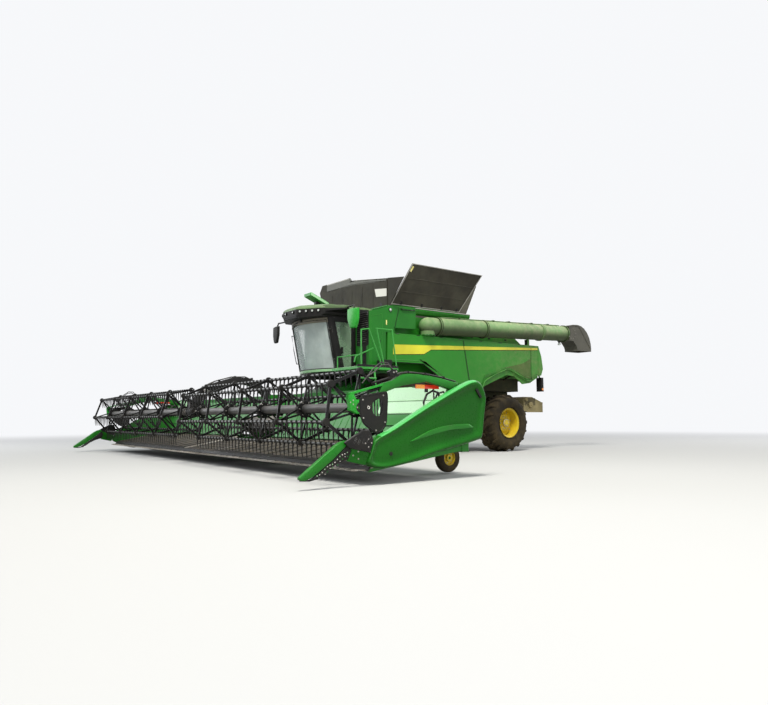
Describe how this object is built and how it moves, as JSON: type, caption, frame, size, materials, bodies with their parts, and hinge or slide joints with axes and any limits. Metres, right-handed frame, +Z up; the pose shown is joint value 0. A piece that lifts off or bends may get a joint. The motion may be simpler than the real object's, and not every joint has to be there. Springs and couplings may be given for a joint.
{
  "type": "combine harvester",
  "caption": "Combine harvester with a draper header and two-part reel, cab, open grain tank flaps, folded unloading auger, steered rear wheels and straw chopper.",
  "frame": {"origin": "on the ground, in the middle of the machine's width and of its length from the divider tips to the end of the auger spout", "axes": "+X to the machine's left, -Y forward, +Z up; the machine is parked with its header lowered"},
  "size_m": [13.8, 13.6262, 4.911],
  "materials": {
    "belt_rubber": "matt",
    "dark_plastic": "satin",
    "dark_steel": "satin",
    "flap_sheet": "matt, dusty",
    "glass": "clear, tinted",
    "green_paint": "glossy",
    "grey_steel": "worn",
    "seat_fabric": "woven",
    "tyre_rubber": "matt, dusty",
    "yellow_paint": "glossy"
  },
  "bodies": {
    "chassis": {"chassis_frame": "green_paint", "rear_axle": "green_paint", "threshing_housing": "green_paint", "engine_block": "dark_steel", "engine_deck": "green_paint", "cooling_screen": "dark_steel", "rear_hood": "green_paint", "straw_chopper": "grey_steel", "grain_tank": "green_paint", "tank_corner_sheets": "flap_sheet", "front_towers": "green_paint", "cab_frame": "dark_steel", "cab_roof": "green_paint", "cab_windows": "glass", "operator_seat": "seat_fabric", "steering_console": "dark_plastic", "cab_mirrors": "dark_plastic", "platform_ladder": "green_paint"},
    "knuckle_left": {"knuckle_left": "dark_steel"},
    "knuckle_right": {"knuckle_right": "dark_steel"},
    "front_wheel_left": {"front_rim_left": "yellow_paint", "front_tyre_left": "tyre_rubber"},
    "front_wheel_right": {"front_rim_right": "yellow_paint", "front_tyre_right": "tyre_rubber"},
    "rear_wheel_left": {"rear_rim_left": "yellow_paint", "rear_tyre_left": "tyre_rubber"},
    "rear_wheel_right": {"rear_rim_right": "yellow_paint", "rear_tyre_right": "tyre_rubber"},
    "panel_front_left": {"panel_front_left": "green_paint"},
    "panel_rear_left": {"panel_rear_left": "green_paint"},
    "panel_front_right": {"panel_front_right": "green_paint"},
    "panel_rear_right": {"panel_rear_right": "green_paint"},
    "spreader_left": {"spreader_disc_left": "dark_steel"},
    "spreader_right": {"spreader_disc_right": "dark_steel"},
    "flap_left": {"flap_left": "flap_sheet"},
    "flap_right": {"flap_right": "flap_sheet"},
    "flap_front": {"flap_front": "flap_sheet"},
    "flap_rear": {"flap_rear": "flap_sheet"},
    "cab_door": {"cab_door": "dark_steel", "door_glass": "glass"},
    "unloading_auger": {"auger_elbow": "green_paint", "auger_tube": "green_paint", "auger_spout": "flap_sheet"},
    "feeder_and_header": {"feeder_house": "green_paint", "header_frame": "green_paint", "header_decks": "belt_rubber", "cutter_bar": "dark_steel", "end_shield_left": "green_paint", "end_shield_right": "green_paint", "divider_plates": "dark_steel"},
    "lift_barrels": {"lift_barrels": "dark_steel"},
    "lift_rods": {"lift_rods": "grey_steel"},
    "feed_drum": {"feed_drum": "grey_steel"},
    "gauge_wheel_left": {"gauge_wheel_left": "tyre_rubber"},
    "gauge_wheel_right": {"gauge_wheel_right": "tyre_rubber"},
    "reel_arms": {"reel_arms": "green_paint", "reel_centre_arm": "dark_steel"},
    "reel_left": {"reel_left": "dark_steel"},
    "reel_right": {"reel_right": "dark_steel"}
  },
  "joints": [
    {"name": "front_wheel_left_spin", "type": "hinge", "parent": "chassis", "child": "front_wheel_left", "pos_m": [1.5, -0.85309, 1.05], "axis": [1, 0, 0], "continuous": true},
    {"name": "front_wheel_right_spin", "type": "hinge", "parent": "chassis", "child": "front_wheel_right", "pos_m": [-1.5, -0.85309, 1.05], "axis": [1, 0, 0], "continuous": true},
    {"name": "steer_left", "type": "hinge", "parent": "chassis", "child": "knuckle_left", "pos_m": [0.89, 3.10691, 0.82], "axis": [0, 0, 1], "range_deg": [-25, 25]},
    {"name": "steer_right", "type": "hinge", "parent": "chassis", "child": "knuckle_right", "pos_m": [-0.89, 3.10691, 0.82], "axis": [0, 0, 1], "range_deg": [-25, 25]},
    {"name": "rear_wheel_left_spin", "type": "hinge", "parent": "knuckle_left", "child": "rear_wheel_left", "pos_m": [1.29, 3.10691, 0.82], "axis": [1, 0, 0], "continuous": true},
    {"name": "rear_wheel_right_spin", "type": "hinge", "parent": "knuckle_right", "child": "rear_wheel_right", "pos_m": [-1.29, 3.10691, 0.82], "axis": [1, 0, 0], "continuous": true},
    {"name": "panel_front_left_lift", "type": "hinge", "parent": "chassis", "child": "panel_front_left", "pos_m": [1.59, -0.05309, 3.1], "axis": [0, -1, 0], "range_deg": [0, 70]},
    {"name": "panel_front_right_lift", "type": "hinge", "parent": "chassis", "child": "panel_front_right", "pos_m": [-1.59, -0.05309, 3.1], "axis": [0, 1, 0], "range_deg": [0, 70]},
    {"name": "panel_rear_left_lift", "type": "hinge", "parent": "chassis", "child": "panel_rear_left", "pos_m": [1.59, 2.94691, 3.1], "axis": [0, -1, 0], "range_deg": [0, 70]},
    {"name": "panel_rear_right_lift", "type": "hinge", "parent": "chassis", "child": "panel_rear_right", "pos_m": [-1.59, 2.94691, 3.1], "axis": [0, 1, 0], "range_deg": [0, 70]},
    {"name": "spreader_left_spin", "type": "hinge", "parent": "chassis", "child": "spreader_left", "pos_m": [0.52, 4.70691, 1.2], "axis": [0, 0, 1], "continuous": true},
    {"name": "spreader_right_spin", "type": "hinge", "parent": "chassis", "child": "spreader_right", "pos_m": [-0.52, 4.70691, 1.2], "axis": [0, 0, 1], "continuous": true},
    {"name": "flap_left_fold", "type": "hinge", "parent": "chassis", "child": "flap_left", "pos_m": [1.525, 0.14691, 3.905], "axis": [0, -1, 0], "range_deg": [0, 115]},
    {"name": "flap_right_fold", "type": "hinge", "parent": "chassis", "child": "flap_right", "pos_m": [-1.525, 0.14691, 3.905], "axis": [0, 1, 0], "range_deg": [0, 115]},
    {"name": "flap_front_fold", "type": "hinge", "parent": "chassis", "child": "flap_front", "pos_m": [0, -1.19309, 3.866], "axis": [-1, 0, 0], "range_deg": [0, 90]},
    {"name": "flap_rear_fold", "type": "hinge", "parent": "chassis", "child": "flap_rear", "pos_m": [0, 1.70691, 3.866], "axis": [1, 0, 0], "range_deg": [0, 110]},
    {"name": "cab_door_swing", "type": "hinge", "parent": "chassis", "child": "cab_door", "pos_m": [0.972, -1.92809, 2.8], "axis": [0, 0, 1], "range_deg": [0, 80]},
    {"name": "auger_swing", "type": "hinge", "parent": "chassis", "child": "unloading_auger", "pos_m": [1.57, 0.04691, 3.17], "axis": [0, 0, -1], "range_deg": [0, 105]},
    {"name": "header_lift", "type": "hinge", "parent": "chassis", "child": "feeder_and_header", "pos_m": [0, -1.27309, 1.75], "axis": [-1, 0, 0], "range_deg": [0, 12]},
    {"name": "lift_barrels_pivot", "type": "hinge", "parent": "chassis", "child": "lift_barrels", "pos_m": [0, -1.10309, 0.79], "axis": [-1, 0, 0], "range_deg": [0, 12]},
    {"name": "lift_rods_slide", "type": "slide", "parent": "lift_barrels", "child": "lift_rods", "axis": [0, -0.9924, -0.1234], "range_m": [0, 0.22]},
    {"name": "reel_lift", "type": "hinge", "parent": "feeder_and_header", "child": "reel_arms", "pos_m": [0, -3.80309, 1.5], "axis": [-1, 0, 0], "range_deg": [0, 18]},
    {"name": "reel_left_spin", "type": "hinge", "parent": "reel_arms", "child": "reel_left", "pos_m": [0.44, -5.72309, 1.14], "axis": [1, 0, 0], "continuous": true},
    {"name": "reel_right_spin", "type": "hinge", "parent": "reel_arms", "child": "reel_right", "pos_m": [-0.44, -5.72309, 1.14], "axis": [1, 0, 0], "continuous": true},
    {"name": "feed_drum_spin", "type": "hinge", "parent": "feeder_and_header", "child": "feed_drum", "pos_m": [0, -3.91309, 0.84], "axis": [1, 0, 0], "continuous": true},
    {"name": "gauge_wheel_left_spin", "type": "hinge", "parent": "feeder_and_header", "child": "gauge_wheel_left", "pos_m": [5.99, -3.33309, 0.275], "axis": [1, 0, 0], "continuous": true},
    {"name": "gauge_wheel_right_spin", "type": "hinge", "parent": "feeder_and_header", "child": "gauge_wheel_right", "pos_m": [-5.99, -3.33309, 0.275], "axis": [1, 0, 0], "continuous": true}
  ],
  "couplings": [
    {"joint": "steer_right", "follows": "steer_left", "ratio": 1},
    {"joint": "lift_barrels_pivot", "follows": "header_lift", "ratio": 0.937},
    {"joint": "lift_rods_slide", "follows": "header_lift", "m_per_rad": 0.966}
  ]
}
